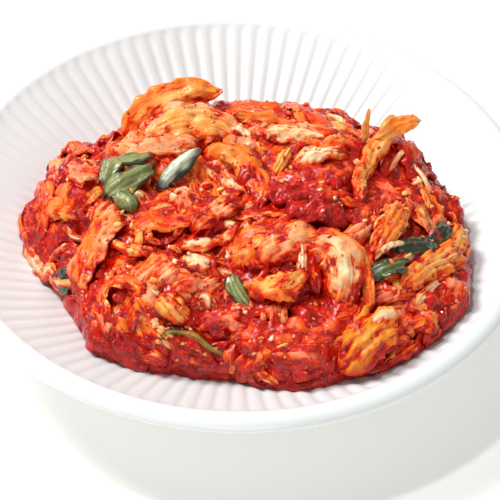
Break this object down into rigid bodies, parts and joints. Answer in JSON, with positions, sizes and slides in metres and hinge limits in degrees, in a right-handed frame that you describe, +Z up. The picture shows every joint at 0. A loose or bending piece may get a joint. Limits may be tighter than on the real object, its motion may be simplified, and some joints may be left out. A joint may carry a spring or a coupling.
{
  "type": "kimchi in a dish",
  "caption": "Cabbage kimchi heaped in a shallow round white dish whose inner wall is fluted, with a plain lip and a foot ring.",
  "frame": {"origin": "on the dish's axis, in the plane that its foot ring stands on", "axes": "+Z up along the dish's axis, the object's shortest extent; +Y towards the back of the heap, where the tall leaf stands"},
  "size_m": [0.18, 0.18, 0.0587],
  "materials": {
    "dish_glaze": "glossy white glaze",
    "kimchi": "wet, red chilli sauce over cream and orange cabbage",
    "greens": "wet dark green leaf"
  },
  "bodies": {
    "root": {"dish": "dish_glaze", "kimchi_heap": "kimchi", "green_leaf": "greens", "green_leaf_tail": "greens", "scallion_glossy": "greens", "scallion_front": "greens", "green_right_upper": "greens", "green_right_middle": "greens", "green_right_lower": "greens", "green_left": "greens"}
  },
  "joints": []
}
